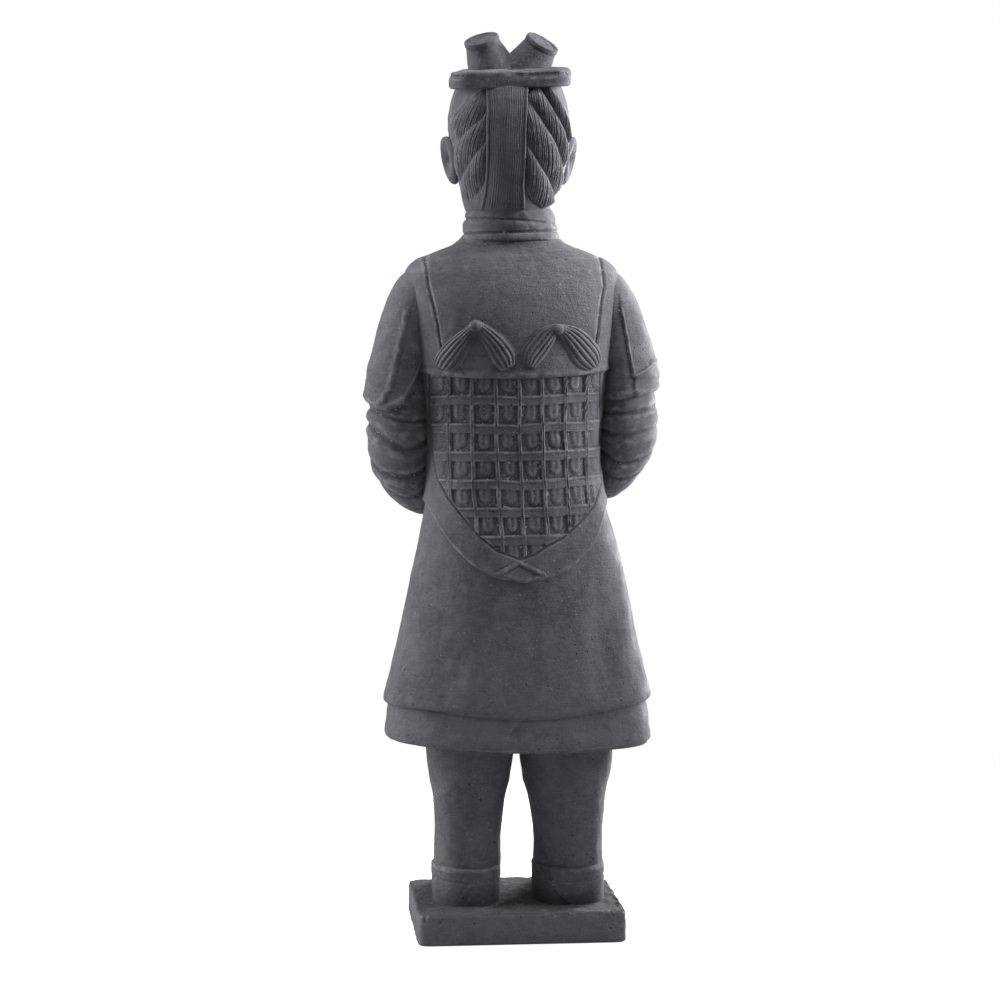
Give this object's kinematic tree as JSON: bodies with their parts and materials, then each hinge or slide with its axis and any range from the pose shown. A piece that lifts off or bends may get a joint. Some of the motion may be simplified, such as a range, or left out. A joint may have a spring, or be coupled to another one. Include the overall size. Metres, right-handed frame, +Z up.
{
  "type": "warrior statue",
  "caption": "Standing warrior statue cast in dark stone together with its plinth: horned cap, plate armour over a long flared robe, hands folded in front of the belly.",
  "frame": {"origin": "middle of the plinth's underside, on the surface it stands on", "axes": "+Z up, the figure faces -Y, +X towards the figure's own left hand"},
  "size_m": [0.3329, 0.2349, 0.9985],
  "materials": {
    "cast_stone": "matte, dark anthracite, pitted and dusty"
  },
  "bodies": {
    "root": {"warrior_statue": "cast_stone"}
  },
  "joints": []
}
